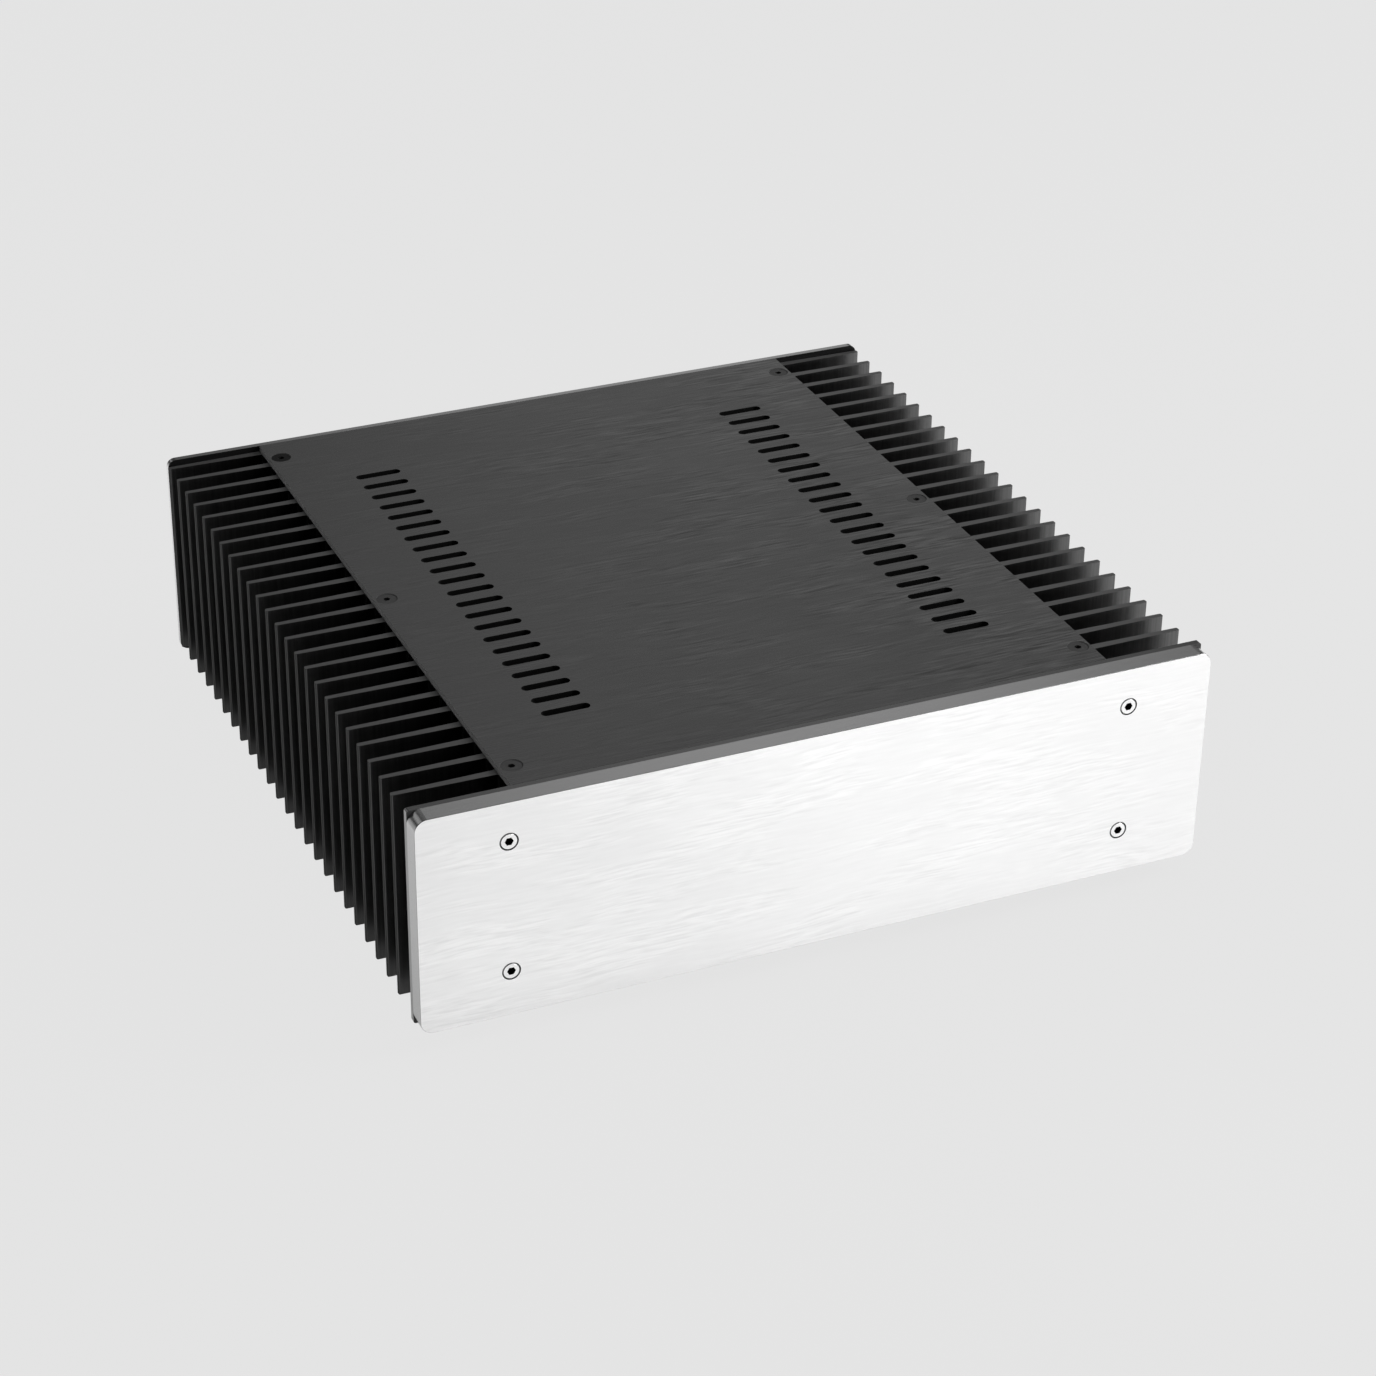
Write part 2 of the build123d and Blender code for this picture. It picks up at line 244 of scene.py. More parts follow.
def makeTurnedFace(s):
    group, given, result = startGroup(
        "turnedFace",
        [
            ("Vector", "NodeSocketVector", None),
            ("Centre", "NodeSocketVector", (0.0, 0.0, 0.0)),
            ("Spacing", "NodeSocketVector", (1.0, 1.0, 1.0)),
            ("Across", "NodeSocketVector", (1.0, 1.0, 0.0)),
            ("Ring Width", "NodeSocketFloat", 0.0002),
            ("Depth", "NodeSocketFloat", 0.0),
            ("Socket Radius", "NodeSocketFloat", 0.0015),
            ("Flat Radius", "NodeSocketFloat", 0.003),
        ],
        ["Rings", "Radius", "Socket", "Edge"],
    )
    offset = addVectorMath(group, "SUBTRACT", (-1100, 100), given["Vector"], given["Centre"])[0]
    high = addScale(group, (-1100, -100), given["Spacing"], 0.5)
    low = addScale(group, (-1100, -300), given["Spacing"], -0.5)
    nearest = addVectorMath(group, "WRAP", (-880, 60), offset, high, low)[0]
    flat = addVectorMath(group, "MULTIPLY", (-680, 60), nearest, given["Across"])[0]
    radius = addVectorMath(group, "LENGTH", (-500, 60), flat)["Value"]
    turns = addMath(group, "DIVIDE", (-320, 60), radius, given["Ring Width"])
    angle = addMath(group, "MULTIPLY", (-140, 60), turns, 2 * math.pi)
    wave = addMath(group, "SINE", (40, 60), angle)
    feed(group, result["Rings"], addRange(group, (220, 60), wave, -1.0, 1.0))
    feed(group, result["Radius"], radius)
    sunk = addRange(group, (0, -160), given["Depth"], s["sunkAt"], s["sunkFull"])
    shallow = addRange(group, (0, -420), given["Depth"], s["floorAt"], s["floorEnd"], 1.0, 0.0)
    recess = addMath(group, "MULTIPLY", (260, -300), sunk, shallow)
    inside = addMath(group, "LESS_THAN", (0, -680), radius, given["Socket Radius"])
    feed(group, result["Socket"], addMath(group, "MULTIPLY", (480, -400), recess, inside))
    feed(group, result["Edge"], addMath(group, "GREATER_THAN", (0, -860), radius, given["Flat Radius"]))
    return group


brushedGrain = makeBrushedGrain(grainForm)
facingMask = makeFacingMask()
handlingMarks = makeHandlingMarks(marksForm)
turnedFace = makeTurnedFace(turnedForm)
print("made the shared effects")


# Materials: each has its dictionary of what a user would change, and goes on its nodes straight away

def startMaterial(name, constants):
    material = bpy.data.materials.new(name)
    material.use_nodes = True
    tree = material.node_tree
    shader = tree.nodes["Principled BSDF"]
    shader.location = (300, 0)
    tree.nodes["Material Output"].location = (600, 0)
    for label, value in constants.items():
        shader.inputs[label].default_value = value
    coordinates = addNode(tree, "ShaderNodeTexCoord", (-1400, 0))
    return material, tree, shader.inputs, coordinates.outputs["Object"]


def addGrain(tree, place, point, s):
    return useGroup(tree, brushedGrain, place, {
        "Vector": point, "Stroke Length": s["strokeLength"], "Stroke Width": s["strokeWidth"],
        "Drift": s["drift"], "Relief": s["relief"]})


def addMarks(tree, place, point, s):
    return useGroup(tree, handlingMarks, place, {
        "Vector": point, "Patch Scale": s["patchScale"], "Speck Scale": s["speckScale"]})


def addFacing(tree, place, axis, start=0.6, full=0.8):
    return useGroup(tree, facingMask, place, {"Axis": axis, "Start": start, "Full": full})["Mask"]


def addSideways(tree, place, point):
    # the point's X, and its distance from the plane X = 0
    sideways = addSeparate(tree, place, point)["X"]
    return sideways, addMath(tree, "ABSOLUTE", (place[0] + 180, place[1]), sideways)


def addBump(tree, shader, height, strength, distance):
    bump = addNode(tree, "ShaderNodeBump", (60, -360))
    for label, value in (("Height", height), ("Strength", strength), ("Distance", distance)):
        feed(tree, bump.inputs[label], value)
    feed(tree, shader["Normal"], bump.outputs["Normal"])


def dress(material, *names):
    for name in names:
        nodes[name].data.materials.clear()
        nodes[name].data.materials.append(material)
    print("dressed", ", ".join(names))


# Front panel: aluminium brushed along its length, clear anodised, with milled edges; its rounded corners
# carry a painted dark reflection band

brushedPanel = {
    "bright": (1.0, 1.0, 1.0),
    "dull": (0.87, 0.87, 0.87),
    "edge": (0.74, 0.74, 0.74),
    # the rounded corners' dark colour is a painted reflection
    "paintedCornerReflection": (0.42, 0.42, 0.42),
    "faceMask": (0.75, 0.95),
    "edgeMask": (0.94, 0.99),
    "strokeLength": 0.015,
    "strokeWidth": 0.0012,
    "drift": 0.004,
    "relief": 3.3,
    "strokeShare": 0.7,
    "patchScale": 24.0,
    "speckScale": 900.0,
    "roughness": 0.34,
    "roughnessSpread": 0.05,
    "edgeRoughness": 0.24,
    "edgeSpread": 0.04,
}


def makeBrushedPanel(s):
    material, tree, shader, point = startMaterial("brushedPanel", {"Metallic": 1.0})
    grain = addGrain(tree, (-1100, 200), point, s)
    marks = addMarks(tree, (-1100, -200), point, s)
    facing = addFacing(tree, (-1100, 500), towardsY, *s["faceMask"])
    soft = mixValues(tree, (-900, 120), 0.5, grain["Patches"], marks["Patches"])
    tone = mixValues(tree, (-700, 200), s["strokeShare"], soft, grain["Strokes"])
    face = mixColours(tree, (-400, 300), tone, s["dull"], s["bright"])
    ends = addFacing(tree, (-1100, 720), towardsX, *s["edgeMask"])
    top = addFacing(tree, (-1100, 900), towardsZ, *s["edgeMask"])
    flat = addMath(tree, "MAXIMUM", (-900, 800), ends, top)
    # faces that look neither along X nor Z, the rounded corners, get the painted dark reflection colour
    plain = mixColours(tree, (-800, 640), flat, s["paintedCornerReflection"], s["edge"])
    lines = addSpread(tree, (-800, 480), grain["Hairlines"], 1.0, s["edgeSpread"])
    milled = addScale(tree, (-600, 480), plain, lines)
    feed(tree, shader["Base Color"], mixColours(tree, (-200, 300), facing, milled, face))
    gloss = addSpread(tree, (-600, -100), grain["Strokes"], s["roughness"], -s["roughnessSpread"])
    feed(tree, shader["Roughness"], mixValues(tree, (-400, -100), facing, s["edgeRoughness"], gloss))
    return material


dress(makeBrushedPanel(brushedPanel), "front_panel")


# Covers: aluminium brushed across the case, black anodised, with painted shade (near-black) on the slot
# walls and countersinks, a painted highlight on the side edges, and stroke contrast painted fainter to
# the left

blackCover = {
    "dark": (0.052, 0.052, 0.052),
    "light": (0.122, 0.122, 0.122),
    # near-black slot walls and countersinks: painted shade
    "wall": (0.003, 0.003, 0.003),
    # pale side edges: a painted highlight
    "side": (0.36, 0.36, 0.36),
    "sideDepth": 0.0005,  # the outermost part of the cover's width that counts as its side
    "faceMask": (0.85, 0.95),
    "slopeMask": (0.5, 1.0),
    "strokeLength": 0.015,
    "strokeWidth": 0.0014,
    "drift": 0.004,
    "relief": 3.5,
    "strokeShare": 0.7,
    "patchScale": 16.0,
    "speckScale": 900.0,
    # stroke contrast painted fainter towards the left and full on the right: painted light
    "faintLeft": 0.22,
    "faintUpTo": -0.7,  # in half widths of the cover, from its middle
    "clearFrom": 0.9,
    "roughnessLow": 0.24,
    "roughnessHigh": 0.30,
    "wallRoughness": 0.8,
    "metallic": 0.6,
    "gloss": 0.1,
}


def makeBlackCover(s):
    material, tree, shader, point = startMaterial("blackCover", {"Specular IOR Level": s["gloss"]})
    grain = addGrain(tree, (-1100, 200), point, s)
    marks = addMarks(tree, (-1100, -200), point, s)
    facing = addFacing(tree, (-1100, 500), towardsZ, *s["faceMask"])
    sloping = addFacing(tree, (-1100, 900), towardsZ, *s["slopeMask"])
    sideways, away = addSideways(tree, (-1400, 700), point)
    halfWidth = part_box("top_cover")[1][0]
    soft = mixValues(tree, (-900, 120), 0.5, grain["Patches"], marks["Patches"])
    brushed = mixValues(tree, (-700, 200), s["strokeShare"], soft, grain["Strokes"])
    faintX, clearX = s["faintUpTo"] * halfWidth, s["clearFrom"] * halfWidth
    # the strokes' contrast is painted weaker to the left: painted light
    clear = addRange(tree, (-900, -60), sideways, faintX, clearX, s["faintLeft"], 1.0)
    tone = mixValues(tree, (-560, 200), clear, 0.5, brushed)
    face = mixColours(tree, (-400, 300), tone, s["dark"], s["light"])
    # the side edges get the pale painted highlight, the other upright faces the near-black painted shade
    paintedLitSides = addMath(tree, "GREATER_THAN", (-900, 700), away, halfWidth - s["sideDepth"])
    wall = mixColours(tree, (-400, 480), paintedLitSides, s["wall"], s["side"])
    feed(tree, shader["Base Color"], mixColours(tree, (-200, 300), sloping, wall, face))
    feed(tree, shader["Metallic"], addMath(tree, "MULTIPLY", (-200, 100), facing, s["metallic"]))
    low, high = s["roughnessLow"], s["roughnessHigh"]
    gloss = addRange(tree, (-400, -200), grain["Hairlines"], 0.0, 1.0, high, low)
    feed(tree, shader["Roughness"], mixValues(tree, (-200, -200), facing, s["wallRoughness"], gloss))
    return material


dress(makeBlackCover(blackCover), "top_cover", "bottom_cover")


# Inner and rear plates: satin black faces, with the cut rim a smoother, brighter metal.
# The inner plate's face is painted lighter and the rear panel's face near-black: painted light and
# shade.
# Each rim's top is painted darker than its side, and the two rims differ: painted shade too.

blackPlate = {
    "strokeLength": 0.02,
    "strokeWidth": 0.0012,
    "drift": 0.003,
    "relief": 2.0,
    "toneSpread": 0.2,
    "sideMask": (0.9, 0.99),
    "roughnessLow": 0.34,
    "roughnessHigh": 0.42,
    "gloss": 0.12,
}
plateRims = {
    "front_inner_plate": {
        # face painted lighter than the rear panel's as painted light; top painted darker than side as
        # painted shade
        "face": (0.06, 0.06, 0.06),
        "top": (0.25, 0.25, 0.25),
        "side": (0.42, 0.42, 0.42),
        "roughness": 0.24,
    },
    "rear_panel": {
        # face painted near-black as painted shade; top painted darker than side as painted shade
        "face": (0.007, 0.007, 0.007),
        "top": (0.46, 0.46, 0.46),
        "side": (0.95, 0.95, 0.95),
        "roughness": 0.2,
    },
}


def makeBlackPlate(name, s, rim):
    material, tree, shader, point = startMaterial(name, {"Specular IOR Level": s["gloss"]})
    grain = addGrain(tree, (-1100, 200), point, s)
    facing = addFacing(tree, (-1100, 500), towardsY)
    shade = addSpread(tree, (-800, 200), grain["Strokes"], 1.0, s["toneSpread"])
    face = addScale(tree, (-600, 300), rim["face"], shade)
    upright = addFacing(tree, (-1100, 700), towardsX, *s["sideMask"])
    cut = mixColours(tree, (-600, 480), upright, rim["top"], rim["side"])
    feed(tree, shader["Base Color"], mixColours(tree, (-400, 300), facing, cut, face))
    feed(tree, shader["Metallic"], addMath(tree, "SUBTRACT", (-400, 100), 1.0, facing))
    low, high = s["roughnessLow"], s["roughnessHigh"]
    gloss = addRange(tree, (-800, -100), grain["Patches"], 0.0, 1.0, low, high)
    feed(tree, shader["Roughness"], mixValues(tree, (-400, -100), facing, rim["roughness"], gloss))
    return material


for name, rim in plateRims.items():
    dress(makeBlackPlate(name + "_black", blackPlate, rim), name)


# Heatsinks: extruded faces with faint die lines and painted shade, darker at the roots and on the left,
# dull tips, and the sawn ends of the fins a rougher grey

blackExtrusion = {
    "face": (0.125, 0.125, 0.125),
    "tip": (0.032, 0.032, 0.032),
    # near-black at the fins' roots: painted shade
    "root": (0.004, 0.004, 0.004),
    "sawn": (0.092, 0.092, 0.092),
    "rootReach": 0.004,
    "tipDepth": 0.01,
    "rootShade": 0.3,  # how bright the faces are next to the root, where their tips are 1
    "leftShade": 0.68,  # and on the left heatsink, where the right one is 1
    "dieLineWidth": 0.0007,
    "dieLineRise": 0.02,  # the lines run up the fins, so the noise hardly changes with Z
    "noiseLow": 0.3,
    "noiseHigh": 0.7,
    "lineSpread": 0.15,
    "sawSpread": 0.14,
    "roughnessLow": 0.31,
    "roughnessHigh": 0.39,
    "tipRoughness": 0.6,
    "sawnRoughness": 0.34,
    "faceMetallic": 0.95,
    "sawnMetallic": 0.6,
    "gloss": 0.2,
}
sawMarks = {
    "strokeLength": 0.008,
    "strokeWidth": 0.0005,
    "drift": 0.0005,
    "relief": 2.0,
}


def makeBlackExtrusion(s, saw):
    material, tree, shader, point = startMaterial("blackExtrusion", {"Specular IOR Level": s["gloss"]})
    upright = addVectorMath(tree, "MULTIPLY", (-1250, 300), point, (1.0, 1.0, s["dieLineRise"]))[0]
    dieLines = addNoise(tree, (-1050, 300), upright, 1 / s["dieLineWidth"], roughness=0.6)[0]
    cut = addFacing(tree, (-1050, 560), towardsZ)
    outward = addFacing(tree, (-1050, 760), towardsX)
    sideways, away = addSideways(tree, (-1500, 960), point)
    baseFace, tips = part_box("top_cover")[1][0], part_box("right_heatsink")[1][0]
    rootEnd = baseFace + s["rootReach"]

    beyond = addMath(tree, "GREATER_THAN", (-1050, 960), away, tips - s["tipDepth"])
    tip = addMath(tree, "MULTIPLY", (-800, 860), outward, beyond)
    # faces painted near-black at the root, darker towards it, and darker on the left heatsink: painted
    # shade
    pastRoot = addRange(tree, (-800, 1040), away, baseFace, rootEnd)
    wall = mixColours(tree, (-960, 640), pastRoot, s["root"], s["face"])
    rootShading = addRange(tree, (-800, 1240), away, rootEnd, tips, s["rootShade"], 1.0)
    left = addRange(tree, (-800, 1440), sideways, -baseFace, baseFace, s["leftShade"], 1.0)
    shade = addMath(tree, "MULTIPLY", (-640, 1240), rootShading, left)
    low, high = s["noiseLow"], s["noiseHigh"]
    line = addRange(tree, (-960, 480), dieLines, low, high, 1 - s["lineSpread"], 1 + s["lineSpread"])
    lined = addScale(tree, (-800, 480), wall, addMath(tree, "MULTIPLY", (-880, 400), line, shade))
    walls = mixColours(tree, (-600, 480), tip, lined, s["tip"])

    marks = addGrain(tree, (-1050, 60), point, saw)
    sawLines = addSpread(tree, (-800, 60), marks["Strokes"], 1.0, s["sawSpread"])
    sawn = addScale(tree, (-600, 200), s["sawn"], sawLines)
    feed(tree, shader["Base Color"], mixColours(tree, (-400, 300), cut, walls, sawn))

    wallMetal = mixValues(tree, (-600, 640), tip, s["faceMetallic"], 0.0)
    feed(tree, shader["Metallic"], mixValues(tree, (-400, 100), cut, wallMetal, s["sawnMetallic"]))
    gloss = addRange(tree, (-800, -200), dieLines, low, high, s["roughnessLow"], s["roughnessHigh"])
    wallGloss = mixValues(tree, (-600, -60), tip, gloss, s["tipRoughness"])
    feed(tree, shader["Roughness"], mixValues(tree, (-400, -100), cut, wallGloss, s["sawnRoughness"]))
    return material


dress(makeBlackExtrusion(blackExtrusion, sawMarks), "left_heatsink", "right_heatsink")


# Screws: turned heads, the bright and black ones with painted shade in their sockets and on their head
# edges, and a rolled thread on the shank

screwForm = {
    "threadPitch": 0.0007,
    "threadDepth": 0.0003,
    "bumpStrength": 0.5,
    "shankRadius": 0.00206,
    "ringWidth": 0.00022,
    "ringDepth": 0.05,  # a share of the thread's
    "leastSpacing": 0.05,  # for a node with one screw, or one row of them
    "patchScale": 260.0,
    "speckScale": 2600.0,
    "roughnessSpread": 0.1,
}
brightScrew = {
    "bright": (1.0, 1.0, 1.0),
    "dull": (0.9, 0.9, 0.9),
    # the dark socket and edge colours are painted shade
    "socket": (0.01, 0.01, 0.01),
    "edge": (0.2, 0.2, 0.2),
    "roughness": 0.3,
    "metallic": 1.0,
    "gloss": 0.5,
    "headRadius": 0.0035,
    "socketRadius": 0.00178,
    "flatRadius": 0.00302,
}
blackScrew = {
    "bright": (0.053, 0.053, 0.053),
    "dull": (0.037, 0.037, 0.037),
    # socket and edge a little darker than the head: painted shade
    "socket": (0.03, 0.03, 0.03),
    "edge": (0.032, 0.032, 0.032),
    "roughness": 0.36,
    "metallic": 0.45,
    "gloss": 0.4,
    "headRadius": 0.004,
    "socketRadius": 0.0015,
    "flatRadius": 0.0037,
}
darkScrew = {
    **blackScrew,
    "bright": (0.011, 0.011, 0.011),
    "dull": (0.009, 0.009, 0.009),
    "socket": (0.02, 0.02, 0.02),
    "edge": (0.008, 0.008, 0.008),
    "roughness": 0.55,
    "metallic": 0.0,
    "gloss": 0.04,
}


def screwPattern(name, headRadius, axis):
    # centre of the lowest screw of a node, the spacing of its rows, and the plane across its axis
    low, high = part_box(name)
    centre = low + Vector((headRadius,) * 3)
    span = high - low - 2 * Vector((headRadius,) * 3)
    gaps = 2 if "cover_screws" in name else 1  # a cover has three screws a side, a plate two
    spacing = [max(length, screwForm["leastSpacing"]) for length in (span[0], span[1] / gaps, span[2])]
    spacing[axis] = 1.0
    across = [1.0, 1.0, 1.0]
    across[axis] = 0.0
    return centre, spacing, across


def makeScrew(node, axis, side, s):
    # side is -1 where the heads' faces are the node's lowest points along the axis, +1 where highest
    material, tree, shader, point = startMaterial(
        node + "_finish", {"Metallic": s["metallic"], "Specular IOR Level": s["gloss"]})
    along = addSeparate(tree, (-1300, -460), point)[axis]
    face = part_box(node)[0][axis] if side < 0 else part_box(node)[1][axis]
    below = addMath(tree, "SUBTRACT", (-1300, -640), along, face)
    depth = addMath(tree, "MULTIPLY", (-1300, -820), below, -side)
    centre, spacing, across = screwPattern(node, s["headRadius"], axis)
    turned = useGroup(tree, turnedFace, (-1100, 200), {
        "Vector": point, "Centre": centre, "Spacing": spacing, "Across": across,
        "Ring Width": screwForm["ringWidth"], "Depth": depth,
        "Socket Radius": s["socketRadius"], "Flat Radius": s["flatRadius"]})
    marks = addMarks(tree, (-1100, -200), point, screwForm)
    tone = mixValues(tree, (-700, 200), 0.5, marks["Patches"], turned["Rings"])
    flat = mixColours(tree, (-500, 300), tone, s["dull"], s["bright"])
    edged = mixColours(tree, (-300, 300), turned["Edge"], flat, s["edge"])
    # the socket and edge colours carry painted shade on the bright and black screws
    feed(tree, shader["Base Color"], mixColours(tree, (-100, 300), turned["Socket"], edged, s["socket"]))
    low, high = s["roughness"], s["roughness"] + screwForm["roughnessSpread"]
    feed(tree, shader["Roughness"], addRange(tree, (-400, -100), marks["Specks"], 0.0, 1.0, low, high))
    thread = addMath(tree, "PINGPONG", (-800, -460), along, screwForm["threadPitch"] / 2)
    groove = addMath(tree, "DIVIDE", (-620, -460), thread, screwForm["threadPitch"] / 2)
    onShank = addMath(tree, "LESS_THAN", (-620, -620), turned["Radius"], screwForm["shankRadius"])
    rings = addMath(tree, "MULTIPLY", (-500, -300), turned["Rings"], screwForm["ringDepth"])
    height = mixValues(tree, (-300, -400), onShank, rings, groove)
    addBump(tree, shader, height, screwForm["bumpStrength"], screwForm["threadDepth"])
    return material


alongY, alongZ = 1, 2  # the screws' axes, as places in a point
screwNodes = {
    "front_panel_screws": (alongY, -1, brightScrew),
    "inner_plate_screws": (alongY, -1, blackScrew),
    "rear_panel_screws": (alongY, 1, blackScrew),
    "top_cover_screws": (alongZ, 1, blackScrew),
    "rear_left_cover_screw": (alongZ, 1, darkScrew),
    "bottom_cover_screws": (alongZ, -1, blackScrew),
}
for node, (axis, side, finish) in screwNodes.items():
    dress(makeScrew(node, axis, side, finish), node)


# Washers, nuts and foot screws: zinc plated

zincPlate = {
    "bright": (0.72, 0.74, 0.76),
    "dull": (0.56, 0.58, 0.60),
    "patchScale": 300.0,
    "speckScale": 3000.0,
    "roughnessLow": 0.24,
    "roughnessHigh": 0.4,
    "speckDepth": 0.00004,
    "bumpStrength": 0.2,
}


def makeZincPlate(s):
    material, tree, shader, point = startMaterial("zincPlate", {"Metallic": 1.0})
    marks = addMarks(tree, (-1100, 0), point, s)
    zinc = mixColours(tree, (-400, 300), marks["Patches"], s["dull"], s["bright"])
    feed(tree, shader["Base Color"], zinc)
    low, high = s["roughnessLow"], s["roughnessHigh"]
    feed(tree, shader["Roughness"], addRange(tree, (-400, -100), marks["Specks"], 0.0, 1.0, low, high))
    addBump(tree, shader, marks["Specks"], s["bumpStrength"], s["speckDepth"])
    return material


dress(makeZincPlate(zincPlate), "front_panel_washers", "front_panel_nuts",
      "foot_washers", "foot_screws", "foot_nuts")


# Feet: moulded rubber with a fine grain and a little dust in it

footRubber = {
    "rubber": (0.018, 0.018, 0.019),
    "dusty": (0.05, 0.05, 0.05),
    "patchScale": 120.0,
    "speckScale": 2200.0,
    "roughnessLow": 0.62,
    "roughnessHigh": 0.77,
    "grainDepth": 0.00008,
    "bumpStrength": 0.4,
}


def makeFootRubber(s):
    material, tree, shader, point = startMaterial("footRubber", {})
    marks = addMarks(tree, (-1100, 0), point, s)
    dust = addMath(tree, "MULTIPLY", (-700, 300), marks["Patches"], marks["Specks"])
    feed(tree, shader["Base Color"], mixColours(tree, (-400, 300), dust, s["rubber"], s["dusty"]))
    low, high = s["roughnessLow"], s["roughnessHigh"]
    feed(tree, shader["Roughness"], addRange(tree, (-400, -100), marks["Patches"], 0.0, 1.0, low, high))
    addBump(tree, shader, marks["Specks"], s["bumpStrength"], s["grainDepth"])
    return material


dress(makeFootRubber(footRubber), "front_left_foot", "front_right_foot",
      "rear_left_foot", "rear_right_foot")


# Studio: a pale floor that keeps a faint shadow, a dim room with a bright ceiling, and softboxes

studio = {
    "pale": 0.776,
    "floorSize": 30.0,
    "cameraShare": 0.98,  # how much of the floor glows, to the camera
    "mirrorShare": 0.4,  # and in reflections
    "wall": 0.1,
    "glow": 0.72,
    "glowSide": math.radians(24.5),
    "glowHeight": math.radians(24.0),
    "glowStart": 0.984,
    "ceiling": 1.0,
    "ceilingStart": 0.8,
    "ceilingFull": 0.92,
    "horizonFull": 0.03,
    "horizonEnd": 0.1,
}


def addFloor(s):
    # To the camera the floor glows at its own colour, and a small share of it shows lamps and shadow.
    # In reflections less of it glows and the lamps light the rest, so it brightens towards them.
    bpy.ops.object.select_all(action="DESELECT")
    bpy.ops.mesh.primitive_plane_add(size=s["floorSize"], location=(0.0, 0.0, 0.0))
    floor = bpy.context.object
    floor.name = "floor"
    material = bpy.data.materials.new("paleFloor")
    material.use_nodes = True
    tree = material.node_tree
    tree.nodes.clear()
    output = addNode(tree, "ShaderNodeOutputMaterial", (600, 0))
    pale = (s["pale"],) * 3 + (1.0,)
    lit = addNode(tree, "ShaderNodeBsdfDiffuse", (0, 150))
    lit.inputs["Color"].default_value = pale
    shown = addNode(tree, "ShaderNodeEmission", (0, -100))
    shown.inputs["Color"].default_value = pale
    rays = addNode(tree, "ShaderNodeLightPath", (-700, 400)).outputs
    mirror = addMath(tree, "MAXIMUM", (-500, 300), rays["Is Glossy Ray"], rays["Is Transmission Ray"])
    mirrored = addMath(tree, "MULTIPLY", (-300, 300), mirror, s["mirrorShare"])
    seen = addMath(tree, "MULTIPLY", (-300, 480), rays["Is Camera Ray"], s["cameraShare"])
    share = addMath(tree, "MAXIMUM", (-100, 400), seen, mirrored)
    mix = addNode(tree, "ShaderNodeMixShader", (300, 0))
    for target, source in zip(mix.inputs, (share, lit.outputs[0], shown.outputs[0])):
        tree.links.new(source, target)
    tree.links.new(mix.outputs[0], output.inputs["Surface"])
    floor.data.materials.append(material)


def addRoom(s):
    # A patch high on the back wall, to the right, glows; the camera sees the floor's colour instead.
    world = bpy.data.worlds.new("studioRoom")
    bpy.context.scene.world = world
    world.use_nodes = True
    tree = world.node_tree
    tree.nodes.clear()
    output = addNode(tree, "ShaderNodeOutputWorld", (800, 0))
    direction = addNode(tree, "ShaderNodeTexCoord", (-900, 0)).outputs["Generated"]
    upward = addSeparate(tree, (-700, 0), direction)["Z"]
    glowCentre = (
        math.sin(s["glowSide"]) * math.cos(s["glowHeight"]),
        math.cos(s["glowSide"]) * math.cos(s["glowHeight"]),
        math.sin(s["glowHeight"]),
    )
    near = addVectorMath(tree, "DOT_PRODUCT", (-640, 260), direction, glowCentre)["Value"]
    walls = addRange(tree, (-460, 260), near, s["glowStart"], 1.0, s["wall"], s["glow"])
    ceiling = addRange(tree, (-460, 0), upward, s["ceilingStart"], s["ceilingFull"], 0.0, s["ceiling"])
    horizon = addRange(tree, (-460, -260), upward, s["horizonFull"], s["horizonEnd"], s["pale"], 0.0)
    bands = addMath(tree, "MAXIMUM", (-200, -100), ceiling, horizon)
    light = addMath(tree, "MAXIMUM", (-40, 60), bands, walls)
    rays = addNode(tree, "ShaderNodeLightPath", (-200, 400)).outputs
    strength = mixValues(tree, (160, 0), rays["Is Camera Ray"], light, s["pale"])
    background = addNode(tree, "ShaderNodeBackground", (400, 0))
    feed(tree, background.inputs["Strength"], strength)
    tree.links.new(background.outputs[0], output.inputs["Surface"])


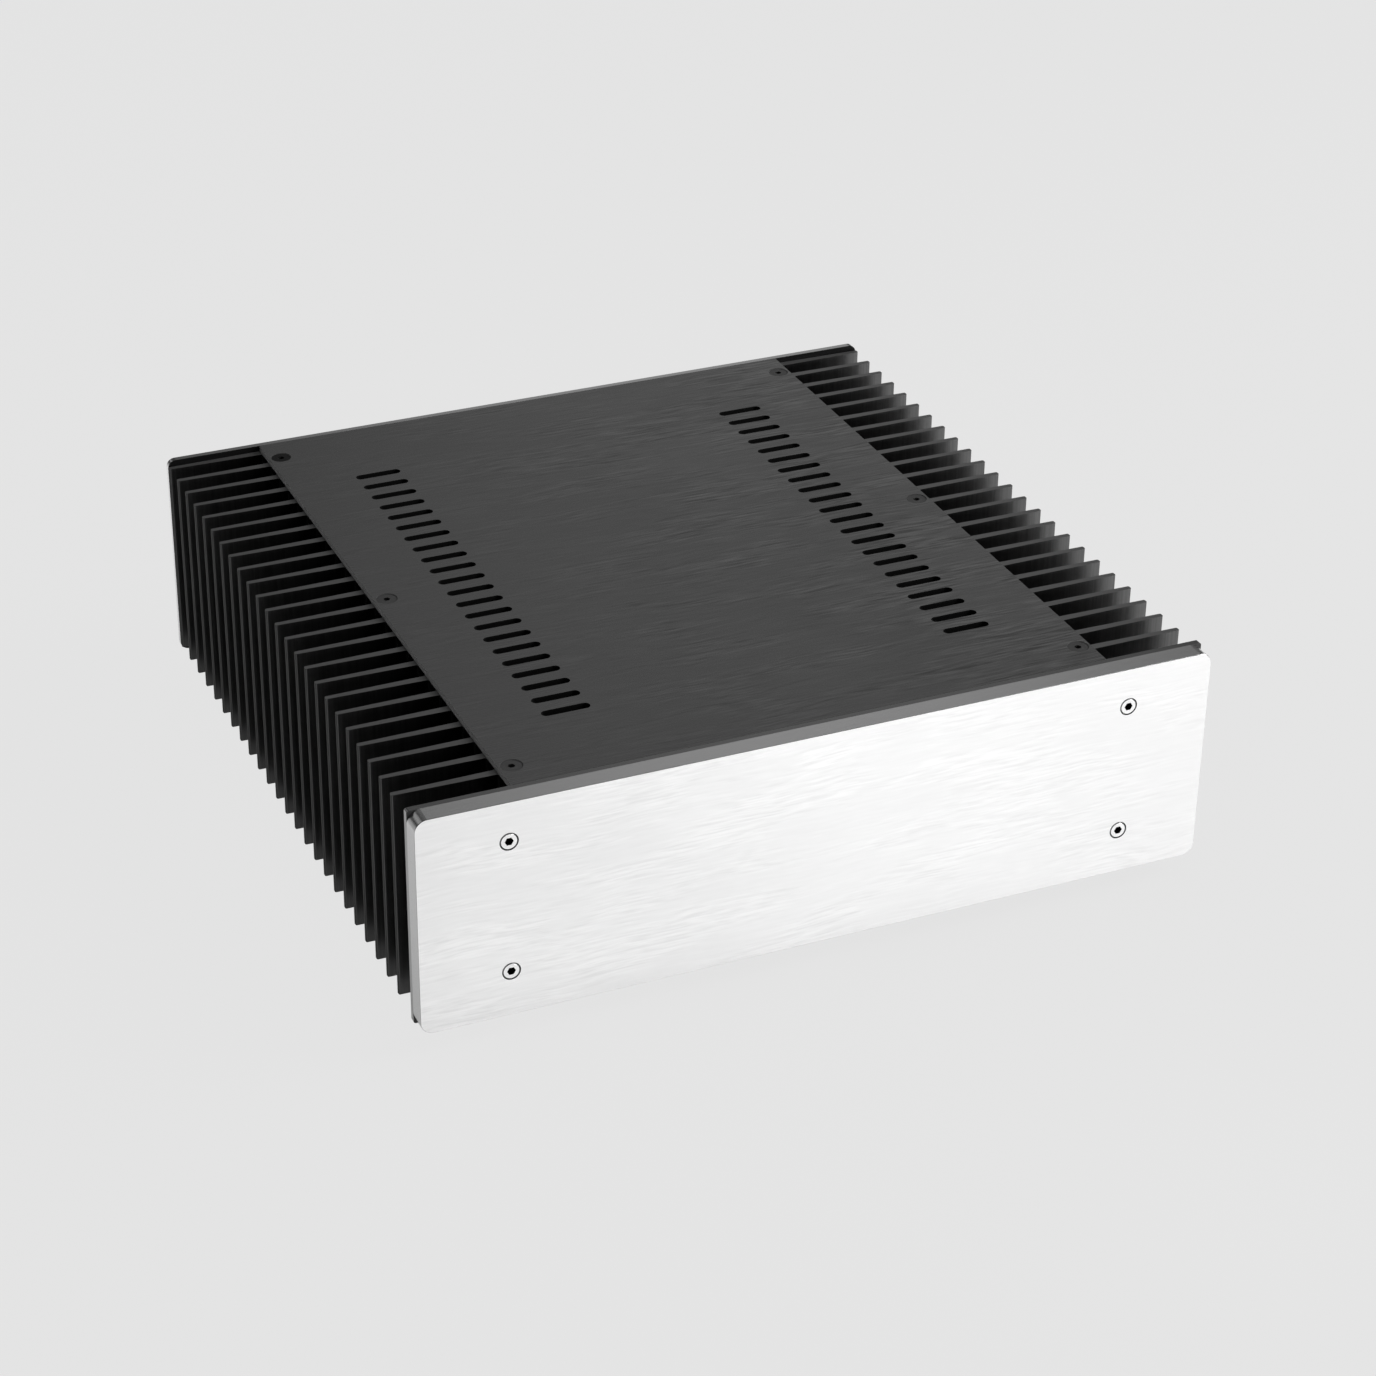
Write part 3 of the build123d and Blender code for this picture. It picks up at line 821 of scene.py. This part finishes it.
softboxes = {
    "keyRight": {
        "place": (1.25, -0.4, 0.95), "target": (0.05, 0.0, 0.05), "size": (0.8, 0.8), "power": 28.0},
    "overhead": {
        "place": (0.15, 0.1, 1.6), "target": (0.0, 0.0, 0.0), "size": (1.0, 1.0), "power": 7.0},
    "frontRight": {
        "place": (0.9, -1.5, 0.25), "target": (0.0, -0.1, 0.05), "size": (0.6, 0.4), "power": 6.0},
    "rearLeft": {
        "place": (-0.91, 1.46, 1.0), "target": (-0.16, -0.15, 0.1), "size": (0.8, 0.6), "power": 0.8},
    "floorPool": {
        "place": (0.08, -0.34, 0.1), "target": (0.08, -0.34, 0.0), "size": (0.06, 0.06), "power": 0.055},
}


def addSoftbox(name, s):
    data = bpy.data.lights.new(name, "AREA")
    data.shape = "RECTANGLE"
    data.size, data.size_y = s["size"]
    data.energy = s["power"]
    lamp = bpy.data.objects.new(name, data)
    bpy.context.scene.collection.objects.link(lamp)
    lamp.location = s["place"]
    aim = Vector(s["target"]) - Vector(s["place"])
    lamp.rotation_euler = aim.to_track_quat("-Z", "Y").to_euler()


addFloor(studio)
addRoom(studio)
for name, box in softboxes.items():
    addSoftbox(name, box)
print("lit the studio")


# Camera at the photograph's angle: turned right of the part's Y axis, looking down, rolled a little

view = {
    "place": (-0.47387, -1.10323, 0.71784),
    "turnedRight": math.radians(23.757),
    "lookingDown": math.radians(29.626),
    "roll": math.radians(0.680),
    "focalPixels": 3382.03,
    "imagePixels": 1376,
    "sensorWidth": 36.0,
    "farEnd": 100.0,
}


def addCamera(s):
    ahead = Vector((
        math.sin(s["turnedRight"]) * math.cos(s["lookingDown"]),
        math.cos(s["turnedRight"]) * math.cos(s["lookingDown"]),
        -math.sin(s["lookingDown"]),
    ))
    level = Vector((math.cos(s["turnedRight"]), -math.sin(s["turnedRight"]), 0.0))
    upright = level.cross(ahead)
    right = math.cos(s["roll"]) * level + math.sin(s["roll"]) * upright
    up = math.cos(s["roll"]) * upright - math.sin(s["roll"]) * level
    data = bpy.data.cameras.new("photoCamera")
    data.sensor_width = s["sensorWidth"]
    data.lens = s["focalPixels"] / s["imagePixels"] * s["sensorWidth"]
    data.clip_end = s["farEnd"]
    camera = bpy.data.objects.new("photoCamera", data)
    bpy.context.scene.collection.objects.link(camera)
    turn = Matrix((right, up, -ahead)).transposed()
    camera.matrix_world = Matrix.Translation(s["place"]) @ turn.to_4x4()
    bpy.context.scene.camera = camera


addCamera(view)
bpy.context.scene.view_settings.view_transform = "Standard"
print("set the camera")
